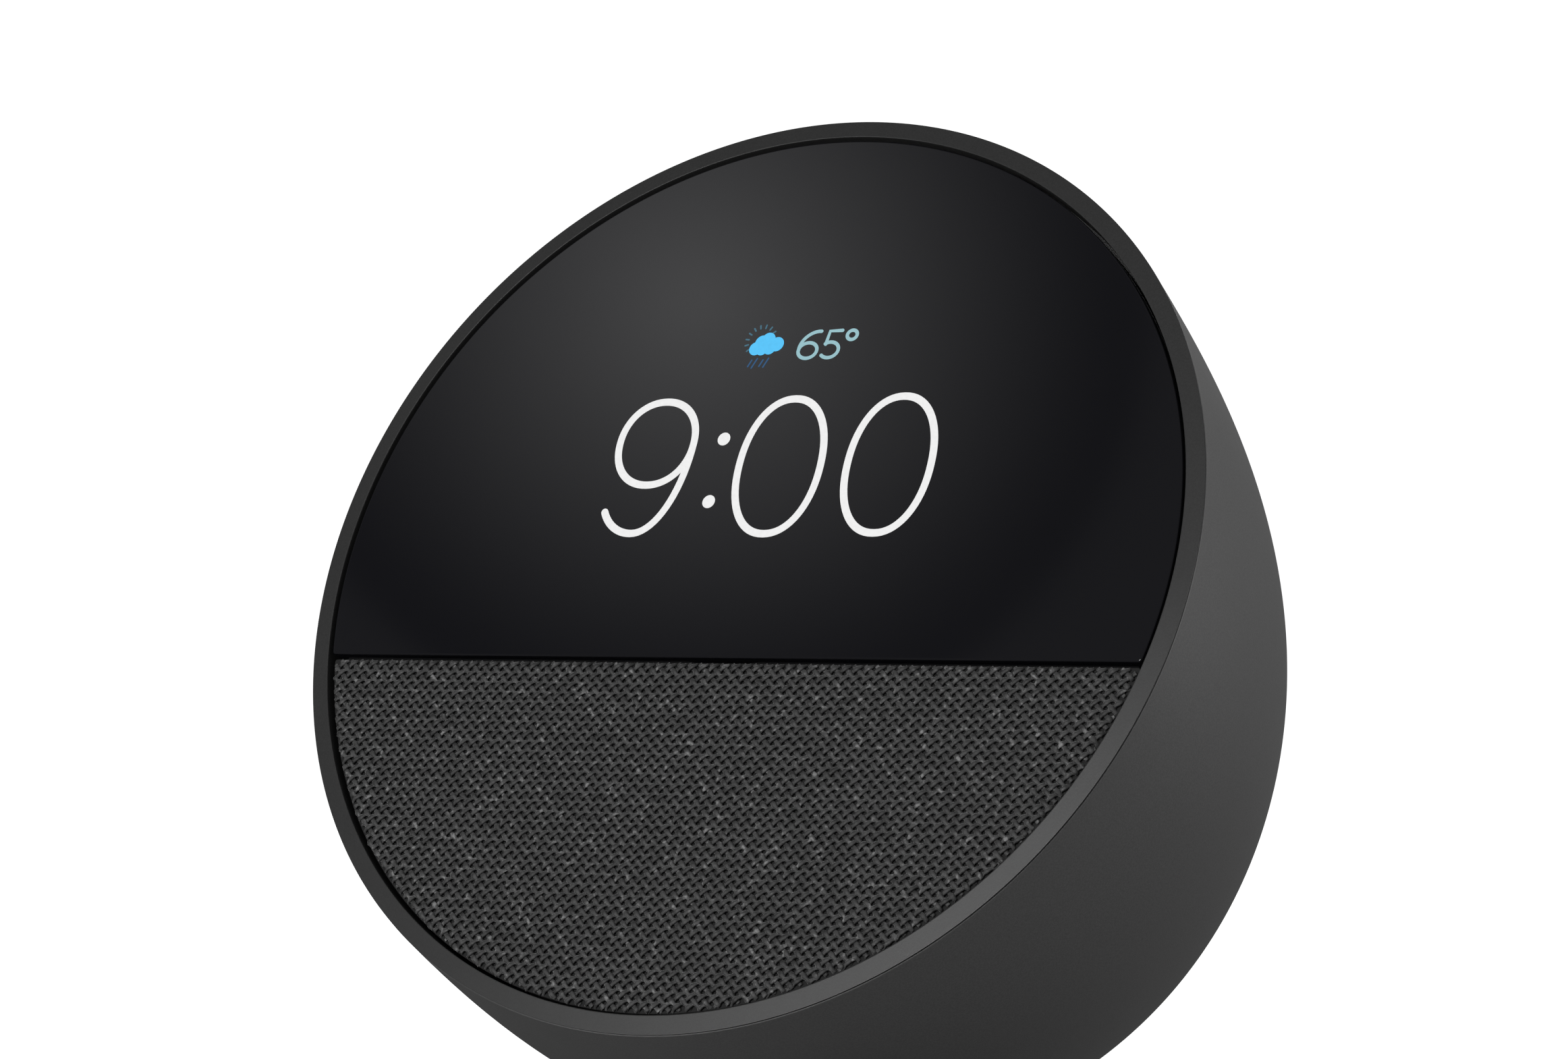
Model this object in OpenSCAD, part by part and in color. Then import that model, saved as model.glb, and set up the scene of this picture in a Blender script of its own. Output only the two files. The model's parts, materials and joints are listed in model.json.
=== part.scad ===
// Smart display: a ball-shaped housing cut by a tilted round front face.
// The face holds a glossy display lens above and a fabric-covered speaker below.
// Frame: millimetres, +Z up, the face looks towards -Y, the foot stands on Z = 0.

/* [Body] */
// Outer radius of the front ring, which is also half the width
rim_r = 56.5; // [55.5:0.5:58]
// Depth of the housing behind the face, along the face's own axis
back_len = 81.5; // [79:0.5:84]
// How far the housing keeps its full width before it rounds off
round_p = 2.58; // [2.4:0.02:2.8]
// Roundness of the rear end
round_e = 0.6; // [0.55:0.01:0.65]
// Wall thickness of the housing
wall = 2.2; // [2:0.1:2.4]

/* [Face] */
// Backward lean of the face
tilt = 25; // [24:0.5:26]
// Height of the face's centre above the table
face_z = 60; // [60:0.5:61]
// Width of the front ring
ring_w = 2.2; // [2:0.1:2.3]
// Where the straight edge between lens and fabric crosses the face
chord_u = -12.6; // [-13:0.1:-12.2]
// Width of the dark gap lines on the face
gap = 0.4; // [0.3:0.05:0.5]

/* [Display] */
// Width of the display panel
panel_w = 64.8; // [62:0.2:65]
// Height of the display panel
panel_h = 50; // [48:0.5:50]
// Height of the panel's centre on the face
panel_u = 15; // [14.5:0.5:15.5]

/* [Speaker] */
// Outer radius of the loudspeaker
speaker_r = 22; // [21:0.5:22]
// Place of the loudspeaker's centre on the face
speaker_u = -30.6; // [-30.8:0.1:-30.4]
// Free stroke of the cone, each way
cone_stroke = 1; // [0.6:0.1:1.2]

/* [Buttons] */
// Radius of a button
button_r = 4.5; // [4:0.1:4.6]
// Travel of a button
button_travel = 0.6; // [0.4:0.1:0.7]
// Angle between neighbouring buttons around the ball
button_step = 13.5; // [13.2:0.1:14]

/* [Power] */
// Radius of the centre pin in the power jack
pin_r = 1; // [0.9:0.05:1.05]
// Radius of the jack's bore
jack_bore_r = 2.9; // [2.8:0.05:3]
// Radius of the round recess that takes the plug's body
recess_r = 5.2; // [5:0.1:5.4]

/* [Foot] */
// Radius of the rubber foot
foot_r = 26.5; // [26:0.5:27]
// Thickness of the rubber foot
foot_t = 1.2; // [1:0.1:1.3]

/* [Hidden] */

$fn = 96;
far = 200;       // longer than anything in the object
eps = 0.01;      // overlap that keeps joined solids joined

shift_slope = 0.144;
shift_curve = 0.063;

// The housing is a stack of circles parallel to the face. At depth s behind the
// face, each circle has radius body_radius(s) and its centre is shifted by
// body_shift(s) along the face's up direction.
function body_radius(s) = rim_r * pow(max(0, 1 - pow(s / back_len, round_p)), round_e);
function body_shift(s) = -shift_slope * s + shift_curve * s * s / back_len;

// A point of the face's frame (up, out) in the object's Y and Z.
function face_y_of(up, out) = face_y + up * sin(tilt) - out * cos(tilt);
function face_z_of(up, out) = face_z + up * cos(tilt) + out * sin(tilt);

// The rearmost point sets the face's place, so that the origin is mid-depth.
back_reach = max([
    for (s = [0:0.25:back_len])
    s * cos(tilt) + body_shift(s) * sin(tilt) + body_radius(s) * sin(tilt)
]);
face_y = -(back_reach - rim_r * sin(tilt)) / 2;

seam_s = 0.4;                       // depth of the line between ring and housing
seam_w = 0.12;                      // width of that line
ring_depth = 3.1;                   // how far the ring's tongue reaches back
ring_tongue = 1;                    // thickness of the tongue
disc_r = rim_r - ring_w;            // inner radius of the ring
insert_r = disc_r - gap;            // radius of lens and fabric
lens_t = 1.6;
panel_top = -lens_t - 0.3;          // the adhesive is 0.3 thick
panel_t = 2.2;
tray_t = 1.4;
frame_back = -7.5;                  // rear face of the front frame
frame_floor = -5.6;                 // floor of the panel's pocket
cone_r = 18.6;                      // opening in front of the cone
flange_z = frame_back - 0.8;        // front of the loudspeaker's flange
coil_back = flange_z - 15.6;        // rear end of the voice coil
yoke_front = coil_back - cone_stroke - 0.2;
plunger_in = 49.9;                  // inner end of a plunger, from the button row's axis
board_z = -36;                      // front face of the main board
board_t = 1.6;
board_w = 64;
board_h = 50;
board_u = 6;
post_x = 27;                        // places of the four board posts
post_dy = 20;
chip_u = 8;                         // centre of processor and heat sink
base_y = 20.4 + face_y;             // centre of the foot
base_top = foot_t + 1.6;            // top of the base plate's flange
base_r = foot_r + 0.8;              // radius of the base plate
skirt_z = 1.6;                      // height of the housing's flat underside
base_hole_r = 21;
base_screw_r = 24;                  // radius of the ring of base screws
floor_top = base_top + 2.2;         // top of the housing's flat bottom
button_s = 26;                      // depth of the button row behind the face
shell_curve = 57;                   // radius of the ball across the button row
mic_places = [-1.6, 1.6];           // places of the microphone holes, in button steps
// Lean of the surface at the button row, from its slope along the depth.
button_lean = atan(
    (body_radius(button_s - 2) + body_shift(button_s - 2)
    - body_radius(button_s + 2) - body_shift(button_s + 2)) / 4
);
jack_z = 17;                        // height of the jack's axis
jack_y = 48 + face_y;               // inner end of the jack's body
jack_len = 12;
power_board_z = jack_z - 6.6;       // underside of the power board
mouth_y = 68.5 + face_y;            // where the jack's axis leaves the ball
mouth_lean = 31.5;                  // how far the ball leans away there

// ---------- frames ----------

// The face's frame: +Y runs up the face and +Z points out of it.
module at_face() {
    translate([0, face_y, face_z]) rotate([90 - tilt, 0, 0]) children();
}

// The loudspeaker's axis, in the face's frame.
module at_speaker() {
    at_face() translate([0, speaker_u, 0]) children();
}

// A place on the button row: +Z points out of the ball and Z = 0 is its axis of
// curvature, so the surface lies at Z = shell_curve.
module at_button(place) {
    at_face()
        translate([0, body_shift(button_s) + body_radius(button_s), -button_s])
        rotate([-90 - button_lean, 0, 0])
        translate([0, 0, -shell_curve])
        rotate([0, place * button_step, 0])
        children();
}

// The space above a horizontal plane.
module above(z) {
    translate([-far / 2, -far / 2, z]) cube([far, far, far]);
}

// ---------- shared shapes ----------

module tube(r_out, r_in, z_from, z_to) {
    difference() {
        translate([0, 0, z_from]) cylinder(r = r_out, h = z_to - z_from);
        translate([0, 0, z_from - 1]) cylinder(r = r_in, h = z_to - z_from + 2);
    }
}

module disc(r, z_from, z_to) {
    translate([0, 0, z_from]) cylinder(r = r, h = z_to - z_from);
}

module slab(w, h, z_from, z_to) {
    translate([-w / 2, -h / 2, z_from]) cube([w, h, z_to - z_from]);
}

module rounded_slab(w, h, r, z_from, z_to) {
    translate([0, 0, z_from])
        linear_extrude(z_to - z_from)
        union() {
            square([w - 2 * r, h], center = true);
            square([w, h - 2 * r], center = true);
            for (x = [-1, 1])
                for (y = [-1, 1])
                    translate([x * (w / 2 - r), y * (h / 2 - r)]) circle(r, $fn = 32);
        }
}

// The part of a disc above (side 1) or below (side -1) the chord.
module segment(r, chord, side, z_from, z_to) {
    intersection() {
        disc(r, z_from, z_to);
        translate([-far / 2, side > 0 ? chord : chord - far, z_from - 1])
            cube([far, far, z_to - z_from + 2]);
    }
}

// A round bar between two points, with a ball at its end.
module bar(p, q, r) {
    d = q - p;
    translate(p)
        rotate([0, acos(d.z / norm(d)), atan2(d.y, d.x)])
        cylinder(r = r, h = norm(d), $fn = 20);
    translate(q) sphere(r + 0.06, $fn = 20);
}

// A sheet bent around the button row's axis of curvature.
module arc_sheet(r_in, r_out, half_width, half_angle) {
    rotate([90, 0, 0])
        rotate([0, 0, 90 - half_angle])
        rotate_extrude(angle = 2 * half_angle)
        translate([r_in, -half_width])
        square([r_out - r_in, 2 * half_width]);
}

// A cross-head screw: the head sits above Z = 0 and the shaft below.
module screw(shaft_r, head_r, head_h, length) {
    difference() {
        union() {
            cylinder(r = head_r, h = head_h);
            translate([0, 0, -length]) cylinder(r = shaft_r, h = length + eps);
        }
        for (a = [0, 90])
            rotate([0, 0, a])
                translate([-head_r * 0.6, -head_r * 0.12, head_h / 2])
                cube([head_r * 1.2, head_r * 0.24, head_h]);
    }
}

// ---------- housing ----------

// The body's skin, drawn inwards by t, between two depths. Its rings lie close
// together where the rear end rounds off.
module body_skin(t, from, to, rings, sides) {
    points = [
        for (i = [0:rings])
        for (j = [0:sides - 1])
        let (s = from + (to - from) * sin(90 * i / rings))
        let (r = max(0.6, body_radius(s + (t > 0 ? t * 0.55 : 0)) - t * 0.96))
        [r * cos(j * 360 / sides), body_shift(s) + r * sin(j * 360 / sides), -s]
    ];
    faces = concat(
        [[for (j = [sides - 1:-1:0]) j]],
        [[for (j = [0:sides - 1]) rings * sides + j]],
        [
            for (i = [0:rings - 1])
            for (j = [0:sides - 1])
            [i * sides + j, i * sides + (j + 1) % sides, (i + 1) * sides + j]
        ],
        [
            for (i = [0:rings - 1])
            for (j = [0:sides - 1])
            [
                i * sides + (j + 1) % sides,
                (i + 1) * sides + (j + 1) % sides,
                (i + 1) * sides + j
            ]
        ]
    );
    polyhedron(points, faces);
}

// The posts on the housing's floor that carry the power board.
module power_posts() {
    for (x = [-5.5, 5.5]) translate([x, jack_y + 4, 0]) disc(2, 0, power_board_z);
}

module rear_shell() {
    color("#3a3b3d")
        difference() {
            intersection() {
                at_face() body_skin(0, seam_s, back_len - 0.2, 26, 72);
                above(skirt_z);
            }
            difference() {
                at_face() body_skin(wall, seam_s - 1, back_len - 2.6, 16, 48);
                translate([-far / 2, -far / 2, floor_top - far]) cube(far);
                power_posts();
            }
            at_face() disc(disc_r + ring_tongue + 0.1, -ring_depth - 0.1, 0);
            translate([0, base_y, 0]) disc(base_r + 0.2, 0, base_top);
            translate([0, base_y, 0]) disc(base_hole_r, 0, floor_top + 1);
            for (i = [1:3]) base_screw_place(i) disc(1.3, 0, floor_top + 1);
            for (place = [-1:1]) at_button(place) disc(button_r + 0.3, 50, 62);
            for (place = mic_places) at_button(place) disc(0.6, 50, 62);
            at_jack() disc(recess_r + 1.2, 0, far);
        }
}

module bezel_ring() {
    edge_r = 0.15;
    color("#4a4b4d")
        at_face()
        rotate_extrude($fn = 180)
        polygon(concat(
            [[disc_r, -ring_depth], [disc_r, -edge_r], [disc_r + edge_r, 0]],
            [for (a = [90:-15:0]) [rim_r, 0] + edge_r * [cos(a) - 1, sin(a) - 1]],
            [[rim_r, seam_w - seam_s], [rim_r - 0.5, seam_w - seam_s]],
            [[rim_r - 0.5, -seam_s], [disc_r + ring_tongue, -seam_s]],
            [[disc_r + ring_tongue, -ring_depth]]
        ));
}

// ---------- display ----------

module display_lens() {
    color("#0b0c0e")
        at_face()
        segment(insert_r, chord_u + gap, 1, -lens_t, -0.1);
}

module lens_adhesive() {
    color("#222222")
        at_face()
        difference() {
            segment(insert_r - 0.3, chord_u + gap + 0.3, 1, panel_top, -lens_t);
            translate([0, panel_u, 0]) slab(panel_w + 1.4, panel_h + 1.4, -3, 0);
        }
}

module display_panel() {
    color("#15181c")
        at_face()
        translate([0, panel_u, 0])
        slab(panel_w, panel_h, panel_top - panel_t, -lens_t - 0.05);
}

module backlight_tray() {
    color("#b9bcbf")
        at_face()
        translate([0, panel_u, 0])
        difference() {
            slab(panel_w + 0.4, panel_h + 0.4, panel_top - panel_t - tray_t, panel_top - panel_t);
            for (x = [-1, 1])
                translate([x * panel_w / 4, 0, 0])
                    slab(panel_w / 2 - 6, panel_h - 10, -9, panel_top - panel_t - tray_t + 0.4);
        }
}

module display_flex() {
    color("#b8742e")
        at_face()
        translate([0, -4, 0])
        union() {
            slab(14, 0.25, board_z + 2.6, -5.52);
            translate([0, -2, 0]) slab(14, 4, board_z + 2.6, board_z + 2.85);
        }
}

// The moulded frame behind the face. It carries the display, the grille, the
// loudspeaker and the posts of the main board.
module front_frame() {
    color("#2b2c2e")
        at_face()
        difference() {
            union() {
                translate([0, -0.6, 0]) disc(disc_r - 1.5, frame_back, panel_top);
                for (x = [-1, 1])
                    for (y = [-1, 1])
                        translate([x * post_x, board_u + y * post_dy, 0])
                            disc(2.8, board_z, frame_back + eps);
                for (x = [-1, 1])
                    translate([x * 29, speaker_u, 0]) disc(2.8, frame_back - 3, frame_back + eps);
            }
            translate([0, panel_u, 0]) slab(panel_w + 0.8, panel_h + 0.8, frame_floor, 0);
            translate([0, panel_u, 0]) slab(48, 32, frame_back - 1, 0);
            translate([0, -4, 0]) slab(16, 1.6, frame_back - 1, 0);
            segment(disc_r + 1, chord_u, -1, -3.1, 0);
            translate([0, speaker_u, 0]) disc(cone_r, frame_back - 1, 0);
            for (x = [-1, 1])
                for (y = [-1, 1])
                    translate([x * post_x, board_u + y * post_dy, board_z - 1]) cylinder(r = 1.3, h = 9);
            for (x = [-1, 1])
                translate([x * 29, speaker_u, frame_back - 4]) cylinder(r = 1.1, h = 6);
        }
}

// ---------- loudspeaker ----------

module speaker_fabric() {
    color("#36373a")
        at_face()
        segment(insert_r, chord_u, -1, -0.9, -0.15);
}

module grille_plate() {
    pitch = 3;
    color("#1d1e20")
        at_face()
        difference() {
            segment(insert_r - 0.2, chord_u - 0.2, -1, -3.1, -0.9);
            for (row = [-5:5])
                for (col = [-5:5])
                    let (x = (col + (row % 2 == 0 ? 0 : 0.5)) * pitch)
                    let (y = row * pitch * sin(60))
                    if (norm([x, y]) < cone_r - 2.5)
                        translate([x, speaker_u + y, -4]) cylinder(r = 1, h = 4, $fn = 16);
        }
}

module speaker_gasket() {
    color("#111111") at_speaker() tube(speaker_r, 20.8, flange_z, frame_back);
}

module speaker_basket() {
    color("#3c3e40")
        at_speaker()
        difference() {
            rotate_extrude()
                polygon([
                    [speaker_r, flange_z], [18.4, flange_z], [18.4, flange_z - 1],
                    [14.2, flange_z - 8.6], [7.6, flange_z - 8.6], [7.6, flange_z - 9.8],
                    [15, flange_z - 9.8], [19.6, flange_z - 1.2], [speaker_r, flange_z - 1.2]
                ]);
            for (a = [45:90:315])
                rotate([0, 0, a]) translate([12, -5, flange_z - 7.6]) cube([12, 10, 5.6]);
        }
}

module speaker_surround() {
    color("#17181a")
        at_speaker()
        rotate_extrude()
        translate([0, flange_z])
        union() {
            translate([18.3, 0]) square([2.3, 0.4]);
            translate([14.9, 0]) square([0.9, 0.4]);
            intersection() {
                translate([17.05, 0])
                    difference() {
                        circle(1.5, $fn = 40);
                        circle(1.1, $fn = 40);
                    }
                translate([15, 0]) square([5, 3]);
            }
        }
}

module speaker_cone() {
    color("#2a2622")
        at_speaker()
        rotate_extrude()
        polygon([
            [15.6, flange_z - 0.1], [14.9, flange_z - 0.1], [6.4, flange_z - 5.6],
            [6.4, flange_z - 6.1], [7.2, flange_z - 6.1], [15.6, flange_z - 0.7]
        ]);
}

module dust_cap() {
    color("#1b1b1c")
        at_speaker()
        translate([0, 0, flange_z - 4.65])
        rotate_extrude()
        intersection() {
            translate([0, -8.6])
                difference() {
                    circle(11, $fn = 90);
                    circle(10.6, $fn = 90);
                }
            square([7, 12]);
        }
}

module voice_coil() {
    color("#b06a35") at_speaker() tube(6.35, 6, coil_back, coil_back + 10);
}

module spider() {
    waves = 10;
    pitch = 0.77;
    color("#b08a4a")
        at_speaker()
        rotate_extrude()
        translate([6.4, flange_z - 7.6])
        polygon(concat(
            [for (i = [0:waves]) [i * pitch, 0.3 + 0.5 * (i % 2)]],
            [for (i = [waves:-1:0]) [i * pitch, 0.5 * (i % 2)]]
        ));
}

module top_plate() {
    color("#8d9092") at_speaker() tube(13.5, 6.9, flange_z - 11.8, flange_z - 9.8);
}

module magnet() {
    color("#3b3d40") at_speaker() tube(13.5, 8.5, yoke_front, flange_z - 11.8);
}

module yoke() {
    color("#8d9092")
        at_speaker()
        union() {
            disc(13, yoke_front - 2, yoke_front);
            disc(5.7, yoke_front - eps, flange_z - 10);
        }
}

// The closed chamber behind the loudspeaker. Its walls keep clear of the
// housing below and of the base plate.
module chamber(inset, z_from) {
    intersection() {
        at_speaker() disc(25.6 - inset, z_from, frame_back - 0.02);
        at_face() translate([0, -1, 0]) disc(rim_r - 3 - inset, -60, 0);
        above(6 + inset);
    }
}

module speaker_enclosure() {
    color("#2f3133")
        difference() {
            union() {
                chamber(0, -31);
                for (x = [-1, 1])
                    at_speaker()
                        translate([x * 26.4, 0, 0])
                        slab(10, 8, frame_back - 5, frame_back - 3.02);
            }
            chamber(1.5, -29.5);
            at_speaker() disc(speaker_r + 0.2, frame_back - 5.2, frame_back + 1);
            for (x = [-1, 1])
                at_speaker() translate([x * 29, 0, frame_back - 8]) cylinder(r = 1.4, h = 8);
        }
}

module enclosure_screw(i) {
    color("#9a9da0")
        at_speaker()
        translate([(i * 2 - 3) * 29, 0, frame_back - 5])
        rotate([180, 0, 0])
        screw(1, 2, 1.4, 6.5);
}

// ---------- electronics ----------

module main_board() {
    color("#1f5a3a")
        at_face()
        difference() {
            translate([0, board_u, 0])
                rounded_slab(board_w, board_h, 7, board_z - board_t, board_z);
            for (x = [-1, 1])
                for (y = [-1, 1])
                    translate([x * post_x, board_u + y * post_dy, board_z - 3])
                        cylinder(r = 1.5, h = 5);
        }
}

module shield_can() {
    color("#c3c6c8")
        at_face()
        translate([6, 17, 0])
        difference() {
            slab(28, 18, board_z, board_z + 2.6);
            slab(27.4, 17.4, board_z - 1, board_z + 2.3);
        }
}

module processor() {
    color("#1a1a1a")
        at_face()
        translate([0, chip_u, 0])
        slab(14, 14, board_z - board_t - 1.2, board_z - board_t);
}

module thermal_pad() {
    color("#7f9fb0")
        at_face()
        translate([0, chip_u, 0])
        slab(14, 14, board_z - board_t - 1.8, board_z - board_t - 1.2);
}

module heat_sink() {
    top = board_z - board_t - 1.8;
    color("#a9acae")
        at_face()
        translate([0, chip_u, 0])
        union() {
            slab(40, 36, top - 2, top);
            for (x = [-18.9:4.2:18.9])
                translate([x, 0, 0]) slab(1.2, 36, top - 9, top - 2 + eps);
        }
}

module display_connector() {
    color("#e6e2d6")
        at_face()
        translate([0, -6.2, 0])
        slab(16, 4.2, board_z, board_z + 2.55);
}

module power_connector() {
    color("#e6e2d6")
        at_face()
        translate([16, -13, 0])
        slab(8, 6, board_z - board_t - 5, board_z - board_t);
}

module board_screw(i) {
    x = i % 2 == 0 ? 1 : -1;
    y = i > 2 ? 1 : -1;
    color("#9a9da0")
        at_face()
        translate([x * post_x, board_u + y * post_dy, board_z - board_t])
        rotate([180, 0, 0])
        screw(1.2, 2.3, 1.6, 8);
}

// ---------- power ----------

// The jack's axis: +Z here points rearwards, out of the recess.
module at_jack() {
    translate([0, jack_y, jack_z]) rotate([-90, 0, 0]) children();
}

module power_board() {
    color("#1f5a3a")
        translate([-8, jack_y - 3, power_board_z])
        cube([16, jack_len + 2, 1.2]);
}

module power_jack() {
    color("#161616")
        difference() {
            translate([-5, jack_y, jack_z - 5.3]) cube([10, jack_len, 10]);
            at_jack() disc(jack_bore_r, 2, jack_len + 1);
            at_jack() disc(pin_r + 0.3, -1, 3);
        }
}

module jack_pin() {
    color("#c9a44a")
        at_jack()
        union() {
            disc(pin_r + 0.3, 0.5, 2);
            disc(pin_r, 2, jack_len - 1.4);
            translate([0, 0, jack_len - 1.4 - eps]) cylinder(r1 = pin_r, r2 = pin_r - 0.4, h = 0.6);
        }
}

// The round cup that leads the plug into the jack. Its mouth follows the ball.
module power_inlet() {
    color("#202123")
        difference() {
            at_jack() disc(recess_r + 1, jack_len + 0.1, 40);
            at_jack() disc(recess_r, jack_len + 1.4, 60);
            at_jack() disc(jack_bore_r + 0.3, jack_len - 1, 60);
            translate([0, mouth_y, jack_z])
                rotate([-90 - mouth_lean, 0, 0])
                slab(far / 2, far, 0, far / 2);
        }
}

module power_lead(side, shade) {
    path = [
        [side * 2, jack_y - 2, jack_z - 4.5],
        [side * 2, jack_y - 7, jack_z - 3],
        [side * 3 + 8, jack_y - 13, jack_z + 4],
        [side * 2.4 + 16, face_y_of(-13, -46), face_z_of(-13, -46)],
        [side * 2 + 16, face_y_of(-13, -43.5), face_z_of(-13, -43.5)]
    ];
    color(shade)
        union() {
            translate(path[0]) sphere(0.86, $fn = 20);
            for (i = [0:len(path) - 2]) bar(path[i], path[i + 1], 0.8);
        }
}

module power_lead_positive() {
    power_lead(1, "#a02020");
}

module power_lead_negative() {
    power_lead(-1, "#151515");
}

// ---------- buttons ----------

// The cap's top follows the ball. The sphere's centre is the row's axis.
module button(place) {
    color("#333436")
        at_button(place)
        union() {
            intersection() {
                disc(button_r, 53.3, 60);
                sphere(shell_curve + 0.25, $fn = 180);
            }
            disc(button_r + 1, 53.3, 54.1);
            disc(1.4, 51.6, 53.3 + eps);
        }
}

module plunger(place) {
    color("#e0dccf") at_button(place) disc(1.6, plunger_in, 51.6);
}

module switch(place) {
    color("#202020")
        at_button(place)
        difference() {
            slab(6, 6, 47.95, 50.5);
            disc(1.75, plunger_in - button_travel - 0.3, 51);
        }
}

module button_seal() {
    color("#4d4f52")
        difference() {
            at_button(0) arc_sheet(51.8, 52.4, 6.5, 22.5);
            for (place = [-1:1]) at_button(place) disc(1.8, 50, 54);
        }
}

module button_flex() {
    color("#b8742e") at_button(0) arc_sheet(47.72, 47.92, 5, 23.5);
}

module button_bracket() {
    color("#8f9294")
        at_button(0)
        union() {
            arc_sheet(46.3, 47.7, 6.5, 28);
            for (a = [-25.6, 25.6]) rotate([0, a, 0]) slab(1.6, 11, 47.6, 54.2);
        }
}

module microphone(i) {
    color("#c9c4b0")
        at_button(mic_places[i - 1])
        difference() {
            slab(2.6, 3.6, 52.5, 54.4);
            disc(0.5, 53.6, 56);
        }
}

// ---------- base ----------

module base_screw_place(i) {
    translate([0, base_y, 0])
        rotate([0, 0, 90 + i * 120])
        translate([base_screw_r, 0, 0])
        children();
}

module base_plate() {
    color("#303133")
        difference() {
            translate([0, base_y, 0])
                union() {
                    disc(base_r, foot_t, base_top);
                    disc(base_hole_r - 0.2, base_top - eps, floor_top);
                }
            for (i = [1:3]) base_screw_place(i) disc(1.5, 0, 9);
            for (i = [1:3]) base_screw_place(i) disc(2.4, 0, foot_t + 0.95);
        }
}

module rubber_foot() {
    color("#1b1b1c")
        translate([0, base_y, 0])
        rotate_extrude()
        polygon([
            [0, 0.3], [foot_r - 5, 0.3], [foot_r - 4.6, 0], [foot_r - 0.5, 0],
            [foot_r, 0.5], [foot_r, foot_t], [0, foot_t]
        ]);
}

module base_screw(i) {
    color("#9a9da0")
        base_screw_place(i)
        translate([0, 0, foot_t + 0.95])
        rotate([180, 0, 0])
        screw(1.1, 2.2, 0.9, 3.4);
}

rear_shell();
bezel_ring();
front_frame();
display_lens();
lens_adhesive();
display_panel();
backlight_tray();
display_flex();
speaker_fabric();
grille_plate();
speaker_gasket();
speaker_basket();
speaker_surround();
speaker_cone();
dust_cap();
voice_coil();
spider();
top_plate();
magnet();
yoke();
speaker_enclosure();
for (i = [1:2]) enclosure_screw(i);
main_board();
shield_can();
processor();
thermal_pad();
heat_sink();
display_connector();
power_connector();
for (i = [1:4]) board_screw(i);
power_board();
power_jack();
jack_pin();
power_inlet();
power_lead_positive();
power_lead_negative();
button(-1);  // volume_down_button
button(0);  // volume_up_button
button(1);  // microphone_button
plunger(-1);  // volume_down_plunger
plunger(0);  // volume_up_plunger
plunger(1);  // microphone_plunger
switch(-1);  // volume_down_switch
switch(0);  // volume_up_switch
switch(1);  // microphone_switch
button_seal();
button_flex();
button_bracket();
for (i = [1:2]) microphone(i);
base_plate();
rubber_foot();
for (i = [1:3]) base_screw(i);
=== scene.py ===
"""Looks of the smart display, built around its CAD frame. Metres, the CAD's own frame."""

import json
import math
import random

import bmesh
import bpy
from mathutils import Matrix, Vector


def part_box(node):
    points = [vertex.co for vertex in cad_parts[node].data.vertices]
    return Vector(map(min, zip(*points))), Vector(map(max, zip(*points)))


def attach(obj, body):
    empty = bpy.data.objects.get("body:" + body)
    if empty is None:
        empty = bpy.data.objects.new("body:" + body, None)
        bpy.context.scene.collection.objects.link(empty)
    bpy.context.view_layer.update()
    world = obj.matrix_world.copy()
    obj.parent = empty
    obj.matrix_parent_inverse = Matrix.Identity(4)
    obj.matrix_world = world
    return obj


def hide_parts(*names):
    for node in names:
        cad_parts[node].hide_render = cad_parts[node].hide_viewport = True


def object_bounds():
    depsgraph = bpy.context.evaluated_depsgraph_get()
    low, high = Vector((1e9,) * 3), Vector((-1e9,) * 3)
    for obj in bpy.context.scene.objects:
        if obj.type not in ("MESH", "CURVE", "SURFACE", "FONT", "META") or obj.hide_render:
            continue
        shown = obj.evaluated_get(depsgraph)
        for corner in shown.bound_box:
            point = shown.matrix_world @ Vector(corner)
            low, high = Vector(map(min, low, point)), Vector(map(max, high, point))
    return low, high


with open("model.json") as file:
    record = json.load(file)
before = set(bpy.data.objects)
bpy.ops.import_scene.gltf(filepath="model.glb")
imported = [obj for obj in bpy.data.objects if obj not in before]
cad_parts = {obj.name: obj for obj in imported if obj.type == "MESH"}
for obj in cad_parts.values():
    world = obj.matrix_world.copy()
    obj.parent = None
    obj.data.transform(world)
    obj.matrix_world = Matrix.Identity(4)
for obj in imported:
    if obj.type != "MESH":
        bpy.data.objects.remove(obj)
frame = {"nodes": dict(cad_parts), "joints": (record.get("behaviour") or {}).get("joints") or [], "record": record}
cad_low, cad_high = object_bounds()

MM = 0.001
HOUSING = "housing"

# ---------------------------------------------------------------------------
# The face's frame and the body's shape, as the CAD has them
# ---------------------------------------------------------------------------


def joint_axis(name):
    return Vector(next(j["axis"] for j in frame["joints"] if j["name"] == name))


OUT = joint_axis("cone_stroke")
UP = Vector((0, OUT.z, -OUT.y))
RIGHT = Vector((1, 0, 0))
ring_low, ring_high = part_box("bezel_ring")
RIM_R = (ring_high.x - ring_low.x) / 2
RING_W = 2.2 * MM
DISC_R = RIM_R - RING_W             # inner radius of the ring
GAP = 0.4 * MM                      # dark line between ring, lens and fabric
INSERT_R = DISC_R - GAP
CHORD = -12.6 * MM                  # height of the edge between lens and fabric
SPEAKER_UP = -30.6 * MM
GASKET_DEPTH = 7.9 * MM             # the gasket's middle lies this far behind the face
SEAM = 0.4 * MM                     # depth of the line between ring and housing
RING_DEPTH = 3.1 * MM
LENS_DROP = 0.1 * MM                # the lens lies this far behind the face
LENS_BACK = 1.6 * MM
BACK_LEN = 81.5 * MM
WALL = 2.2 * MM


def middle(node):
    low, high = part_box(node)
    return (low + high) / 2


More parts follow.
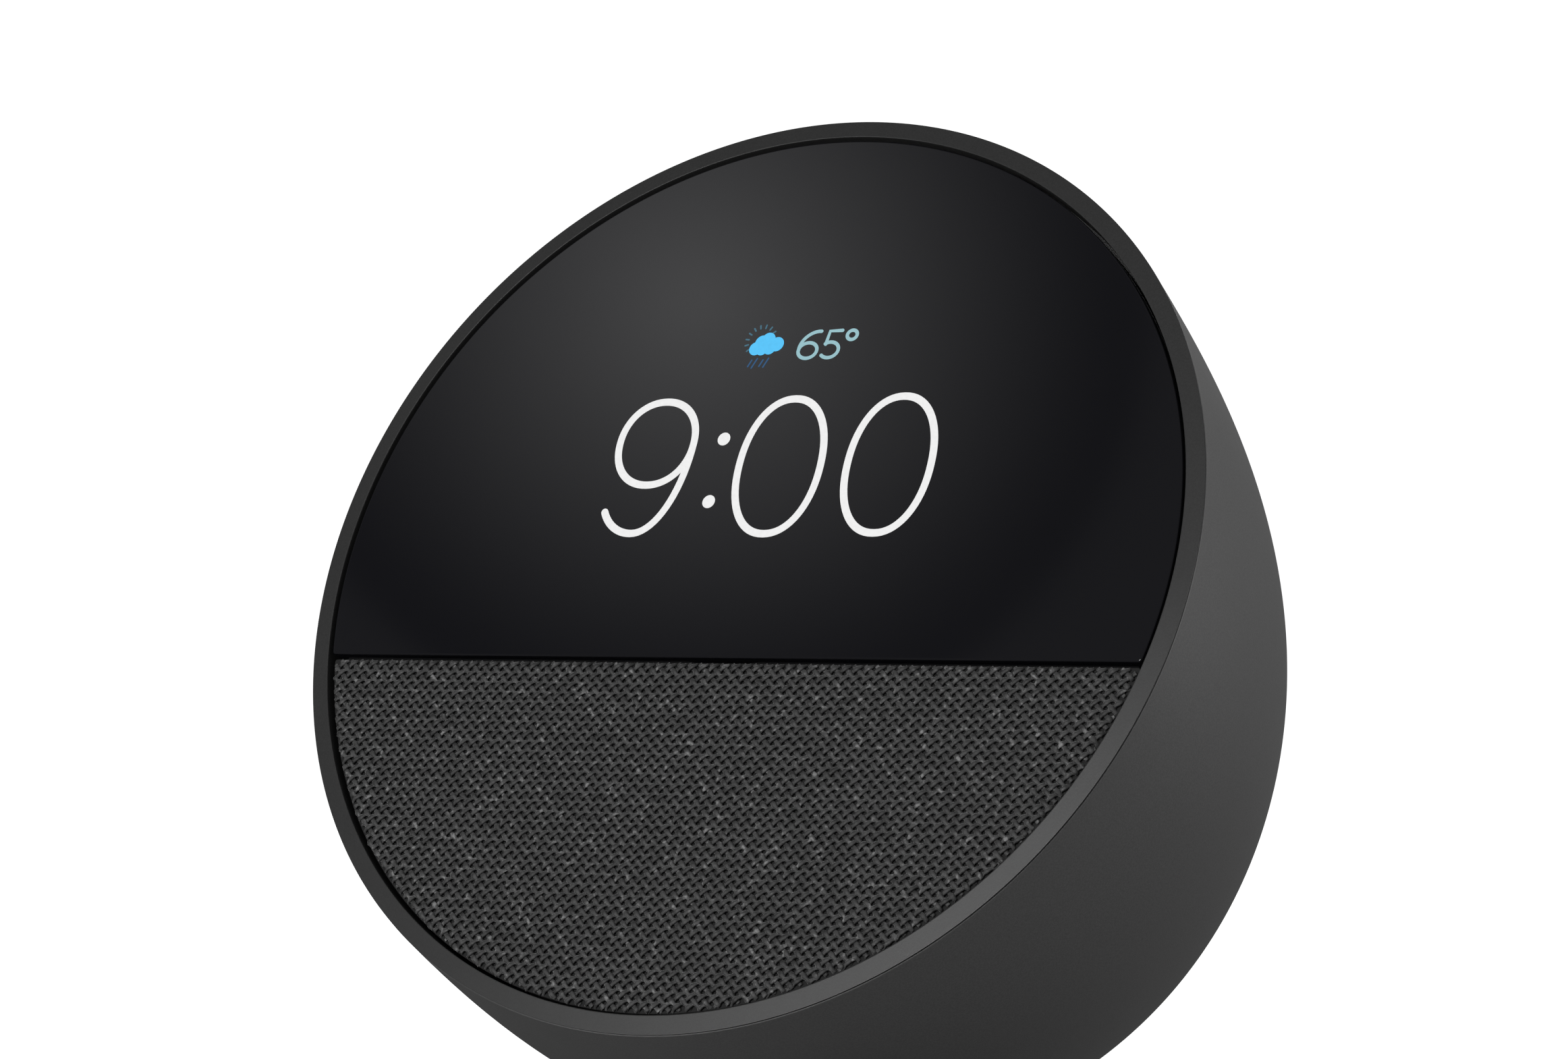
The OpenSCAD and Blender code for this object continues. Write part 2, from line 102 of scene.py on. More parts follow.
FACE = middle("speaker_gasket") - SPEAKER_UP * UP + GASKET_DEPTH * OUT
TABLE_Z = cad_low.z
FLOOR_Z = TABLE_Z + 1.6 * MM        # the housing's flat underside
INNER_FLOOR_Z = TABLE_Z + 5 * MM
BASE = middle("rubber_foot")


def on_face(x, up, out=0.0):
    """A point given by its place on the face and its height above it."""
    return FACE + x * RIGHT + up * UP + out * OUT


def body_radius(s):
    return RIM_R * max(0.0, 1 - (s / BACK_LEN) ** 2.58) ** 0.6


def body_shift(s):
    return -0.144 * s + 0.063 * s * s / BACK_LEN


def body_point(s, angle, inset=0.0):
    """A point of the housing's skin at depth s, drawn inwards by inset."""
    r = max(0.0, body_radius(s) - inset)
    return on_face(r * math.cos(angle), body_shift(s) + r * math.sin(angle), -s)


# ---------------------------------------------------------------------------
# Mesh helpers
# ---------------------------------------------------------------------------

def add_object(name, mesh, material, body=HOUSING, smooth=True):
    piece = bpy.data.objects.new(name, mesh)
    bpy.context.scene.collection.objects.link(piece)
    mesh.materials.append(material)
    for face in mesh.polygons:
        face.use_smooth = smooth
    if body:
        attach(piece, body)
    return piece


def mesh_from(name, points, faces):
    mesh = bpy.data.meshes.new(name)
    mesh.from_pydata([tuple(p) for p in points], [], faces)
    mesh.update()
    return mesh


def clean(mesh, weld=False):
    """Turns every face outwards, and joins points that coincide if asked."""
    bm = bmesh.new()
    bm.from_mesh(mesh)
    if weld:
        bmesh.ops.remove_doubles(bm, verts=bm.verts, dist=1e-7)
    bmesh.ops.recalc_face_normals(bm, faces=bm.faces)
    bm.to_mesh(mesh)
    bm.free()


def sharp_edges(mesh, degrees):
    """Keeps edges crisp where the surface turns by more than this."""
    mesh.set_sharp_from_angle(angle=math.radians(degrees))


def lathe(profile, centre, axis, side, turns=128, closed=False):
    """Turns (radius, height) pairs about an axis. A radius of 0 makes a pole."""
    other = axis.cross(side)
    points, rows = [], []
    for r, h in profile:
        if r < 1e-9:
            rows.append([len(points)] * turns)
            points.append(centre + h * axis)
            continue
        rows.append(list(range(len(points), len(points) + turns)))
        for k in range(turns):
            a = 2 * math.pi * k / turns
            points.append(centre + r * (math.cos(a) * side + math.sin(a) * other) + h * axis)
    faces = []
    pairs = list(zip(rows, rows[1:]))
    if closed:
        pairs.append((rows[-1], rows[0]))
    for low, high in pairs:
        for k in range(turns):
            j = (k + 1) % turns
            quad = [low[k], low[j], high[j], high[k]]
            face = [v for i, v in enumerate(quad) if v not in quad[:i]]
            if len(face) > 2:
                faces.append(face)
    return points, faces


def rounded(corners, radius, steps=4):
    """A closed outline with its corners turned into short arcs. A corner is
    (x, y) or (x, y, own radius)."""
    out = []
    n = len(corners)
    for i, corner in enumerate(corners):
        p = Vector(corner[:2])
        r = corner[2] if len(corner) > 2 else radius
        to_last = Vector(corners[i - 1][:2]) - p
        to_next = Vector(corners[(i + 1) % n][:2]) - p
        reach = min(r, to_last.length * 0.45, to_next.length * 0.45)
        a, b = p + to_last.normalized() * reach, p + to_next.normalized() * reach
        for k in range(steps + 1):
            t = k / steps
            out.append(((1 - t) ** 2 * a + 2 * t * (1 - t) * p + t ** 2 * b).to_tuple())
    return out


def cut_away(piece, tool):
    """Cuts one mesh with another and leaves no modifier behind."""
    mod = piece.modifiers.new("cut", "BOOLEAN")
    mod.operation = "DIFFERENCE"
    mod.object = tool
    mod.solver = "EXACT"
    graph = bpy.context.evaluated_depsgraph_get()
    mesh = bpy.data.meshes.new_from_object(piece.evaluated_get(graph))
    old = piece.data
    piece.modifiers.clear()
    piece.data = mesh
    bpy.data.meshes.remove(old)
    bpy.data.objects.remove(tool)


def flatten_towards(piece, axis, degrees=12):
    """Shades the faces that look along an axis as the plane they are."""
    for face in piece.data.polygons:
        if abs(face.normal.dot(axis)) > math.cos(math.radians(degrees)):
            face.use_smooth = False


def outline_slab(name, outline, low, high, bevel, material):
    """A flat plate with an outline on the face, a crisp side and a rounded top
    edge, from height low to height high."""
    n = len(outline)
    rows = [(0.0, low)]
    rows += [
        (bevel * (1 - math.cos(a)), high - bevel * (1 - math.sin(a)))
        for a in [math.radians(k * 22.5) for k in range(5)]
    ]
    centre = Vector((sum(p[0] for p in outline) / n, sum(p[1] for p in outline) / n))
    normals = []
    for i in range(n):
        d = Vector(outline[(i + 1) % n]) - Vector(outline[i - 1])
        normals.append(Vector((d.y, -d.x)).normalized())
    points = []
    for inset, height in rows:
        for i in range(n):
            p = Vector(outline[i]) - normals[i] * inset
            points.append(on_face(p.x, p.y, height))
    faces = [list(range(n))[::-1]]
    for j in range(len(rows) - 1):
        for i in range(n):
            k = (i + 1) % n
            faces.append([j * n + i, j * n + k, (j + 1) * n + k, (j + 1) * n + i])
    top = (len(rows) - 1) * n
    faces.append([top + i for i in range(n)])
    mesh = mesh_from(name, points, faces)
    sharp_edges(mesh, 40)
    piece = add_object(name, mesh, material)
    flatten_towards(piece, OUT)
    return piece


def segment_outline(r, chord, side, corner, step=math.radians(1.5)):
    """The part of a circle above (side 1) or below (side -1) a chord, run
    anticlockwise, with small rounded corners."""
    start = math.asin(chord / r)
    span = math.pi - 2 * start if side > 0 else math.pi + 2 * start
    first = start if side > 0 else math.pi - start
    count = max(8, int(span / step))
    arc = [
        (r * math.cos(first + span * k / count), r * math.sin(first + span * k / count))
        for k in range(count + 1)
    ]
    ends = rounded([arc[-2], arc[-1], arc[0], arc[1]], corner)
    return arc[1:-1] + ends[5:15]


# ---------------------------------------------------------------------------
# Materials
# ---------------------------------------------------------------------------

def new_material(name):
    material = bpy.data.materials.new(name)
    material.use_nodes = True
    return material, material.node_tree, material.node_tree.nodes["Principled BSDF"]


def noise(tree, scale, detail=3.0, roughness=0.55, stretch=(1, 1, 1)):
    """Noise over the object's own coordinates, in metres."""
    coord = tree.nodes.new("ShaderNodeTexCoord")
    mapping = tree.nodes.new("ShaderNodeMapping")
    mapping.inputs["Scale"].default_value = stretch
    tex = tree.nodes.new("ShaderNodeTexNoise")
    tex.inputs["Scale"].default_value = scale
    tex.inputs["Detail"].default_value = detail
    tex.inputs["Roughness"].default_value = roughness
    tree.links.new(coord.outputs["Object"], mapping.inputs["Vector"])
    tree.links.new(mapping.outputs["Vector"], tex.inputs["Vector"])
    return tex.outputs["Fac"]


def ramp(tree, source, low, high, at=(0.3, 0.7)):
    """Two colours blended by a value."""
    node = tree.nodes.new("ShaderNodeValToRGB")
    node.color_ramp.elements[0].position = at[0]
    node.color_ramp.elements[0].color = (*low, 1)
    node.color_ramp.elements[1].position = at[1]
    node.color_ramp.elements[1].color = (*high, 1)
    tree.links.new(source, node.inputs["Fac"])
    return node.outputs["Color"]


def spread(tree, source, low, high):
    """Maps a value from 0..1 onto low..high."""
    node = tree.nodes.new("ShaderNodeMapRange")
    node.inputs["To Min"].default_value = low
    node.inputs["To Max"].default_value = high
    tree.links.new(source, node.inputs["Value"])
    return node.outputs["Result"]


def bump(tree, shader, source, height, strength=0.5):
    """Fine relief from a value."""
    node = tree.nodes.new("ShaderNodeBump")
    node.inputs["Strength"].default_value = strength
    node.inputs["Distance"].default_value = height
    tree.links.new(source, node.inputs["Height"])
    tree.links.new(node.outputs["Normal"], shader.inputs["Normal"])


def grey(value):
    return (value, value, value)


def moulded(name, colour, rough, grain=0.02 * MM, spots=0.12, scale=5200, sheen=0.0, gloss=0.45):
    """Moulded plastic: fine spark-eroded grain and faint wear in its gloss."""
    material, tree, shader = new_material(name)
    fine = noise(tree, scale, 2.0)
    broad = noise(tree, 90, 4.0)
    low = tuple(c * (1 - spots) for c in colour)
    high = tuple(c * (1 + spots) for c in colour)
    tree.links.new(ramp(tree, fine, low, high, (0.35, 0.65)), shader.inputs["Base Color"])
    tree.links.new(spread(tree, broad, rough - 0.05, rough + 0.05), shader.inputs["Roughness"])
    shader.inputs["Specular IOR Level"].default_value = gloss
    if sheen:
        shader.inputs["Sheen Weight"].default_value = sheen
        shader.inputs["Sheen Roughness"].default_value = 0.5
    bump(tree, shader, fine, grain)
    return material


def metal(name, colour, rough, stretch=(1, 1, 1), scale=900):
    """Bare metal, with its streaks drawn out by stretch."""
    material, tree, shader = new_material(name)
    shader.inputs["Metallic"].default_value = 1.0
    streaks = noise(tree, scale, 4.0, 0.6, stretch)
    low = tuple(c * 0.88 for c in colour)
    tree.links.new(ramp(tree, streaks, low, colour), shader.inputs["Base Color"])
    tree.links.new(spread(tree, streaks, rough - 0.08, rough + 0.08), shader.inputs["Roughness"])
    bump(tree, shader, streaks, 0.01 * MM, 0.3)
    return material


def lens_material():
    """Black-backed cover glass: deep gloss with the faintest smears."""
    material, tree, shader = new_material("lens_glass")
    shader.inputs["Base Color"].default_value = (0.006, 0.006, 0.0075, 1)
    smears = noise(tree, 30, 5.0, 0.6)
    tree.links.new(spread(tree, smears, 0.04, 0.08), shader.inputs["Roughness"])
    shader.inputs["IOR"].default_value = 1.5
    return material


def glow(name, colour, strength):
    """A lit part of the picture on the display."""
    material, tree, shader = new_material(name)
    shader.inputs["Base Color"].default_value = (0.01, 0.01, 0.01, 1)
    grid = noise(tree, 2500, 1.0)
    tree.links.new(
        ramp(tree, grid, tuple(c * 0.93 for c in colour), colour, (0.2, 0.8)),
        shader.inputs["Emission Color"],
    )
    shader.inputs["Emission Strength"].default_value = strength
    shader.inputs["Roughness"].default_value = 0.4
    return material


def thread_material():
    """Matt synthetic thread. Its shade changes along it, with a few light specks."""
    material, tree, shader = new_material("speaker_thread")
    patches = noise(tree, 1300, 2.0, 0.5)
    fibres = noise(tree, 9000, 2.0, 0.5)
    shade = tree.nodes.new("ShaderNodeValToRGB")
    stops = shade.color_ramp.elements
    stops[0].position, stops[0].color = 0.30, (*grey(0.015), 1)
    stops[1].position, stops[1].color = 0.62, (*grey(0.050), 1)
    speck = stops.new(0.72)
    speck.color = (*grey(0.17), 1)
    tree.links.new(patches, shade.inputs["Fac"])
    tree.links.new(shade.outputs["Color"], shader.inputs["Base Color"])
    shader.inputs["Roughness"].default_value = 0.62
    shader.inputs["Specular IOR Level"].default_value = 0.35
    shader.inputs["Sheen Weight"].default_value = 0.15
    shader.inputs["Sheen Roughness"].default_value = 0.4
    bump(tree, shader, fibres, 0.03 * MM, 0.6)
    return material


HOUSING_PLASTIC = moulded("housing_plastic", grey(0.10), 0.50)
RING_PLASTIC = moulded("ring_plastic", grey(0.026), 0.36, grain=0.012 * MM, gloss=0.35)
DARK_PLASTIC = moulded("frame_plastic", grey(0.018), 0.55)
BUTTON_PLASTIC = moulded("button_plastic", grey(0.055), 0.46)
BASE_PLASTIC = moulded("base_plastic", grey(0.035), 0.55)
RUBBER = moulded("soft_rubber", grey(0.020), 0.75, grain=0.03 * MM, scale=3500, sheen=0.1)
MARK = moulded("printed_mark", grey(0.38), 0.55, grain=0.005 * MM, spots=0.05)
# painted shade: a near-black sheet under the weave that makes the holes between the threads read dark
HOLE_SHADE_SHEET = moulded("painted_hole_shade", grey(0.006), 0.9, grain=0.03 * MM)
LENS = lens_material()
THREAD = thread_material()


# ---------------------------------------------------------------------------
# Housing
# ---------------------------------------------------------------------------

def settle(point, floor, blend=0.6 * MM):
    """Flattens the skin onto a floor height, with a soft edge."""
    h = point.z - floor
    lift = max(h, 0.0) + max(blend - abs(h), 0.0) ** 2 / (4 * blend)
    return Vector((point.x, point.y, floor + lift))


LIP = 1.1 * MM                      # the skin's thickness behind the ring
LIP_DEPTH = 3.2 * MM
SOFT_EDGE = 0.12 * MM
MIC_R = 0.6 * MM
INLET_R = 6.3 * MM
REBATE = 2.8 * MM                   # pocket of the base plate
BASE_HOLE_R = 21 * MM
BUTTONS = ["volume_down", "volume_up", "microphone"]
BUTTON_R = 4.5 * MM
BUTTON_GAP = 0.28 * MM
BUTTON_CURVE = 57 * MM              # radius of the ball along the button row
PLUNGER_DEPTH = 6.25 * MM           # from the ball to a plunger's middle


def button_spot(name):
    """(point on the ball, outward axis) of a button, from its plunger."""
    inward = joint_axis(name + "_press")
    return middle(name + "_plunger") - inward * PLUNGER_DEPTH, -inward


def side_of(axis):
    """The part of +X that lies square to an axis."""
    return (RIGHT - RIGHT.dot(axis) * axis).normalized()


def cutter(name, profile, centre, axis, turns):
    """A turned solid that a hole is cut with."""
    points, faces = lathe(profile, centre, axis, side_of(axis), turns)
    mesh = mesh_from(name, points, faces)
    piece = bpy.data.objects.new(name, mesh)
    bpy.context.scene.collection.objects.link(piece)
    return piece


def join(pieces):
    """Puts the meshes of several objects into the first one."""
    bm = bmesh.new()
    for piece in pieces:
        bm.from_mesh(piece.data)
    bm.to_mesh(pieces[0].data)
    bm.free()
    for piece in pieces[1:]:
        bpy.data.objects.remove(piece)
    return pieces[0]


def housing_cutters():
    """The holes: buttons, microphones, power inlet and base."""
    made = []
    for name in BUTTONS:
        spot, out = button_spot(name)
        r = BUTTON_R + BUTTON_GAP
        made.append(cutter("cut_" + name, [
            (0, -5 * MM), (r, -5 * MM), (r, -0.32 * MM), (r + 0.12 * MM, -0.12 * MM),
            (r + 0.3 * MM, 0.02 * MM), (r + 1.3 * MM, 1.2 * MM), (0, 1.2 * MM)], spot, out, 96))
    for i in (1, 2):
        mic = middle(f"microphone_{i}")
        row_spot, row_out = button_spot("volume_up")
        centre = row_spot - BUTTON_CURVE * row_out
        along = row_out.cross(RIGHT)
        beside = (mic - centre).dot(along) * along
        out = (mic - centre - beside).normalized()
        spot = centre + BUTTON_CURVE * out + beside
        made.append(cutter(f"cut_mic_{i}", [
            (0, -4 * MM), (MIC_R, -4 * MM), (MIC_R, -0.2 * MM),
            (MIC_R + 0.25 * MM, 0.1 * MM), (MIC_R + 0.25 * MM, 1 * MM), (0, 1 * MM)],
            spot, out, 32))
    past_skin = 40 * MM
    made.append(cutter("cut_inlet", [
        (0, 0), (INLET_R, 0), (INLET_R, past_skin), (0, past_skin)],
        Vector((0, middle("power_jack").y, middle("jack_pin").z)), Vector((0, 1, 0)), 96))
    plate_low, plate_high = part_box("base_plate")
    plate_r = (plate_high.x - plate_low.x) / 2 + 0.2 * MM
    past_floor = 8 * MM
    made.append(cutter("cut_base", [
        (0, 0), (plate_r, 0), (plate_r, REBATE), (BASE_HOLE_R, REBATE),
        (BASE_HOLE_R, past_floor), (0, past_floor)],
        Vector((BASE.x, BASE.y, TABLE_Z)), Vector((0, 0, 1)), 192))
    return join(made)


def build_housing():
    """The moulded skin: rows of points from the inner pole out over the lip and
    back along the outside, each row a (depth, inset)."""
    turns = 288
    rows = []
    inner_from, inner_to, inner_rows = LIP_DEPTH, BACK_LEN - 2.4 * MM, 34
    for i in range(inner_rows, -1, -1):
        s = inner_from + (inner_to - inner_from) * math.sin(math.pi / 2 * i / inner_rows)
        rows.append((s, WALL))
    rows += [(LIP_DEPTH, LIP), (SEAM, LIP)]
    for k in range(5):
        a = math.radians(22.5 * k)
        rows.append((SEAM + SOFT_EDGE * (1 - math.cos(a)), SOFT_EDGE * (1 - math.sin(a))))
    outer_rows = 150
    outer_from, outer_to = SEAM + SOFT_EDGE * 1.6, BACK_LEN
    for i in range(outer_rows):
        s = outer_from + (outer_to - outer_from) * math.sin(math.pi / 2 * i / outer_rows)
        rows.append((s, 0.0))
    inner_count = inner_rows + 1
    points, faces = [], []
    for row, (s, inset) in enumerate(rows):
        floor = INNER_FLOOR_Z if row < inner_count else FLOOR_Z
        for k in range(turns):
            points.append(settle(body_point(s, 2 * math.pi * k / turns, inset), floor))
    for row in range(len(rows) - 1):
        for k in range(turns):
            j = (k + 1) % turns
            a, b = row * turns, (row + 1) * turns
            faces.append([a + k, b + k, b + j, a + j])
    inner_pole = len(points)
    points.append(settle(body_point(inner_to + 0.25 * MM, 0, 1), INNER_FLOOR_Z))
    points.append(settle(body_point(outer_to, 0), FLOOR_Z))
    last = (len(rows) - 1) * turns
    for k in range(turns):
        j = (k + 1) % turns
        faces.append([inner_pole, k, j])
        faces.append([last + k, inner_pole + 1, last + j])
    mesh = mesh_from("housing_skin", points, faces)
    clean(mesh)
    piece = add_object("housing_skin", mesh, HOUSING_PLASTIC)
    cut_away(piece, housing_cutters())
    sharp_edges(piece.data, 35)
    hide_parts("rear_shell")


def build_ring():
    """The front ring: its front falls slightly outwards to a crisp edge."""
    slope = 0.15 * MM
    rim_back = 0.12 * MM - SEAM
    step_r = RIM_R - 0.5 * MM
    tongue_r = DISC_R + 1 * MM
    outline = rounded([
        (DISC_R, -RING_DEPTH, 0), (DISC_R, slope, 0.14 * MM), (RIM_R, -slope, 0.06 * MM),
        (RIM_R, rim_back, 0.03 * MM), (step_r, rim_back, 0), (step_r, -SEAM, 0),
        (tongue_r, -SEAM, 0), (tongue_r, -RING_DEPTH, 0)], 0, 6)
    points, faces = lathe(outline, FACE, OUT, RIGHT, 360, closed=True)
    mesh = mesh_from("front_ring", points, faces)
    clean(mesh, weld=True)
    sharp_edges(mesh, 40)
    piece = add_object("front_ring", mesh, RING_PLASTIC)
    flatten_towards(piece, OUT)
    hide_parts("bezel_ring")


def build_lens():
    outline = segment_outline(INSERT_R, CHORD + GAP, 1, 0.35 * MM)
    piece = outline_slab("cover_lens", outline, -LENS_BACK, -LENS_DROP, 0.18 * MM, LENS)
    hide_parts("display_lens")


# ---------------------------------------------------------------------------
# What the display shows
# ---------------------------------------------------------------------------

def ellipse_path(cx, cy, rx, ry, start=0, end=360, power=2.0, step=5):
    """Points of a superellipse, in millimetres on the face."""
    count = max(6, int(abs(end - start) / step))
    path = []
    for k in range(count + (0 if abs(end - start) == 360 else 1)):
        a = math.radians(start + (end - start) * k / count)
        c, s = math.cos(a), math.sin(a)
        path.append((
            cx + rx * math.copysign(abs(c) ** (2 / power), c),
            cy + ry * math.copysign(abs(s) ** (2 / power), s)))
    return path


def ribbon(path, width, place, low, high, closed=False):
    """A flat stroke of constant width with round ends, as points and faces."""
    pts = [Vector(p) for p in path]
    widths = [width / 2] * len(pts)
    if not closed:
        for end, inner, where in ((pts[0], pts[1], 0), (pts[-1], pts[-2], -1)):
            d = (end - inner).normalized()
            caps = [(end + d * width / 2 * math.sin(a), width / 2 * math.cos(a))
                    for a in [math.radians(t) for t in (30, 60, 80)]]
            if where == 0:
                pts = [c[0] for c in caps[::-1]] + pts
                widths = [c[1] for c in caps[::-1]] + widths
            else:
                pts = pts + [c[0] for c in caps]
                widths = widths + [c[1] for c in caps]
    n = len(pts)
    points = []
    for i, p in enumerate(pts):
        a = pts[i - 1] if (closed or i) else p
        b = pts[(i + 1) % n] if (closed or i < n - 1) else p
        d = (b - a).normalized()
        side = Vector((-d.y, d.x)) * widths[i]
        for q, h in ((p - side, low), (p + side, low), (p + side, high), (p - side, high)):
            points.append(place(q.x, q.y, h))
    faces = []
    for i in range(n if closed else n - 1):
        j = (i + 1) % n
        for k in range(4):
            m = (k + 1) % 4
            faces.append([i * 4 + k, j * 4 + k, j * 4 + m, i * 4 + m])
    if not closed:
        faces.append([0, 1, 2, 3])
        faces.append([(n - 1) * 4 + k for k in (3, 2, 1, 0)])
    return points, faces


def gather(parts):
    """Several (points, faces) as one."""
    points, faces = [], []
    for more_points, more_faces in parts:
        faces += [[v + len(points) for v in f] for f in more_faces]
        points += more_points
    return points, faces


def lit_place(x, y, h):
    """A point of the picture, in millimetres on the face and above the lens."""
    return on_face(x * MM, y * MM, -LENS_DROP + h * MM)


def lit_plate(path, high):
    """A flat piece of the picture with an outline."""
    n = len(path)
    points = [lit_place(x, y, 0.0) for x, y in path] + [lit_place(x, y, high) for x, y in path]
    faces = [list(range(n))[::-1], list(range(n, 2 * n))]
    faces += [[k, (k + 1) % n, n + (k + 1) % n, n + k] for k in range(n)]
    return points, faces


def lit_piece(name, parts, material):
    """One named piece of the picture, out of several strokes and plates."""
    points, faces = gather(parts)
    mesh = mesh_from(name, points, faces)
    clean(mesh)
    piece = add_object(name, mesh, material, smooth=False)
    return piece


def strokes(paths, width, high):
    """Strokes of the picture, from (path, closed) pairs."""
    return [ribbon(path, width, lit_place, 0.0, high, closed) for path, closed in paths]


def build_clock():
    """The time in thin round strokes: 9:00."""
    middle_up, half_w, half_h = 11.55, 5.35, 8.5
    zeros = [(ellipse_path(x, middle_up, half_w, half_h, power=2.15), True) for x in (2.5, 16.65)]
    bowl = ellipse_path(-14.7, 14.7, 5.02, 5.35, power=2.1)
    stem = ellipse_path(-15.2, 14.7, 5.52, 11.5, 0, -90, power=2.05)
    tail = ellipse_path(-15.2, 8.7, 4.9, 5.5, -95, -150)
    parts = strokes(zeros + [(bowl, True), (stem + tail, False)], 0.92, 0.02)
    parts += [lit_plate(ellipse_path(-5.74, y, 0.82, 0.82, step=15), 0.02) for y in (15.1, 7.15)]
    lit_piece("clock_figures", parts, glow("clock_white", (1.0, 1.0, 1.0), 0.87))


def cloud_outline():
    """The outer edge of five overlapping discs, seen from a point inside."""
    discs = [(-4.45, 26.7, 0.85), (-3.75, 27.45, 0.95), (-3.0, 27.85, 0.88),
             (-1.75, 27.2, 0.92), (-2.6, 26.7, 0.8), (-3.6, 26.6, 0.78)]
    cx, cy = -3.1, 27.0
    path = []
    for k in range(120):
        a = 2 * math.pi * k / 120
        dx, dy = math.cos(a), math.sin(a)
        reach = 0
        for x, y, r in discs:
            px, py = x - cx, y - cy
            along = px * dx + py * dy
            off = r * r - (px * px + py * py - along * along)
            if off > 0:
                reach = max(reach, along + math.sqrt(off))
        path.append((cx + reach * dx, cy + reach * dy))
    return path


def build_weather():
    """A cloud with sun rays behind and rain below, and 65 degrees."""
    six = ellipse_path(3.7, 26.5, 2.36, 2.2, 86, 178, 1.9) + [(1.35, 26.3)]
    figures = [
        (six, False),
        (ellipse_path(2.55, 26.25, 1.22, 1.0), True),
        ([(6.6, 28.72), (5.0, 28.68), (4.78, 27.0)], False),
        (ellipse_path(5.4, 26.25, 1.2, 1.0, 125, -138), False),
        (ellipse_path(8.0, 28.1, 0.64, 0.6, step=15), True),
    ]
    lit_piece("temperature_figures", strokes(figures, 0.44, 0.02),
              glow("figure_cyan", (0.36, 0.62, 0.68), 0.85))
    lit_piece("cloud_icon", [lit_plate(cloud_outline(), 0.03)],
              glow("cloud_blue", (0.09, 0.58, 1.0), 0.95))
    rays = []
    for k in range(9):
        a = math.radians(35 + k * 23)
        c, s = math.cos(a), math.sin(a)
        rays.append(([(-4.0 + 1.65 * c, 27.7 + 1.65 * s), (-4.0 + 2.05 * c, 27.7 + 2.05 * s)], False))
    lit_piece("sun_rays", strokes(rays, 0.2, 0.015), glow("ray_blue", (0.06, 0.18, 0.26), 0.8))
    rain = []
    for x, y, length in ((-4.6, 25.2, 1.0), (-3.9, 25.4, 1.5), (-3.1, 25.2, 1.0), (-2.4, 25.4, 1.4)):
        rain.append(([(x, y), (x - 0.35 * length, y - 0.8 * length)], False))
    lit_piece("rain_streaks", strokes(rain, 0.2, 0.015), glow("rain_blue", (0.02, 0.10, 0.24), 0.8))


# ---------------------------------------------------------------------------
# Speaker fabric
# ---------------------------------------------------------------------------

WEAVE_PITCH = 0.915 * MM            # between neighbouring threads of one set
WEAVE_LEAN = math.radians(40.5)     # the cloth lies on the bias: its threads slant
CLOTH_MIDDLE = -0.45 * MM           # height of the weave's middle
HOLE_SHADE_TOP = -0.7 * MM
HOLE_SHADE_THICK = 0.2 * MM
WRAP = 0.7 * MM                     # how far in from its edge the cloth turns down
WRAP_DROP = 0.45 * MM
THREAD_THICK = 0.24 * MM
THREAD_WAVE = 0.12 * MM             # how far a thread rises over the other set
THREAD_WIDE = 0.56 * MM
THREAD_SPREAD = 0.13 * MM           # a thread flattens where it crosses another


def edge_room(x, up):
    """Distance from a point on the fabric to the fabric's edge."""
    return min(INSERT_R - math.hypot(x, up), CHORD - up)


def turned_down(x, up):
    """How far the cloth has dropped where it wraps over the grille's edge."""
    room = edge_room(x, up)
    return 0.0 if room > WRAP else WRAP_DROP * (1 - max(room, 0.0) / WRAP) ** 2


def thread(points, faces, path, across, thick, rng, sides=6):
    """One thread with an oval section, along a path of (point, width)."""
    first = len(points)
    count = len(path)
    for i, (p, wide) in enumerate(path):
        swell = 1 + rng.uniform(-0.09, 0.09)
        ahead = (path[min(i + 1, count - 1)][0] - path[max(i - 1, 0)][0]).normalized()
        up = across.cross(ahead).normalized()
        for k in range(sides):
            a = 2 * math.pi * k / sides
            points.append(
                p + across * (wide / 2 * swell * math.cos(a)) + up * (thick / 2 * math.sin(a)))
    for i in range(count - 1):
        a, b = first + i * sides, first + (i + 1) * sides
        for k in range(sides):
            j = (k + 1) % sides
            faces.append([a + k, a + j, b + j, b + k])
    faces.append([first + k for k in range(sides)][::-1])
    faces.append([first + (count - 1) * sides + k for k in range(sides)])


def build_threads(name, lean, over):
    """One of the weave's two sets of threads. lean is its angle from +X, and
    over is 1 for the set that starts on top and -1 for the other."""
    rng = random.Random(name)
    margin = 0.22 * MM
    limit = INSERT_R - margin
    along = Vector((math.cos(lean), math.sin(lean)))
    across = Vector((-along.y, along.x))
    other_across = Vector((along.y, along.x))
    side = across.x * RIGHT + across.y * UP
    points, faces = [], []
    reach = int(limit / WEAVE_PITCH)
    for k in range(-reach, reach + 1):
        offset = k * WEAVE_PITCH + rng.uniform(-0.03, 0.03) * MM
        high = math.sqrt(limit ** 2 - offset ** 2)
        low = -high
        at_chord = (CHORD - margin - offset * across.y) / along.y
        if along.y > 0:
            high = min(high, at_chord)
        else:
            low = max(low, at_chord)
        if high - low < 1 * MM:
            continue
        step = WEAVE_PITCH / 4 / abs(along.dot(other_across))
        shift = offset * across.dot(other_across) / along.dot(other_across)
        inside = range(math.ceil((low + shift) / step), math.floor((high + shift) / step) + 1)
        places = [low] + [i * step - shift for i in inside] + [high]
        path = []
        for place in places:
            spot = offset * across + place * along
            crossing = spot.dot(other_across) / WEAVE_PITCH
            wave = over * THREAD_WAVE * math.cos(math.pi * (crossing + k))
            wide = THREAD_WIDE + THREAD_SPREAD * math.cos(2 * math.pi * crossing)
            height = CLOTH_MIDDLE + wave - turned_down(spot.x, spot.y)
            path.append((on_face(spot.x, spot.y, height), wide))
        thread(points, faces, path, side, THREAD_THICK, rng)
    piece = add_object(name, mesh_from(name, points, faces), THREAD)
    return piece


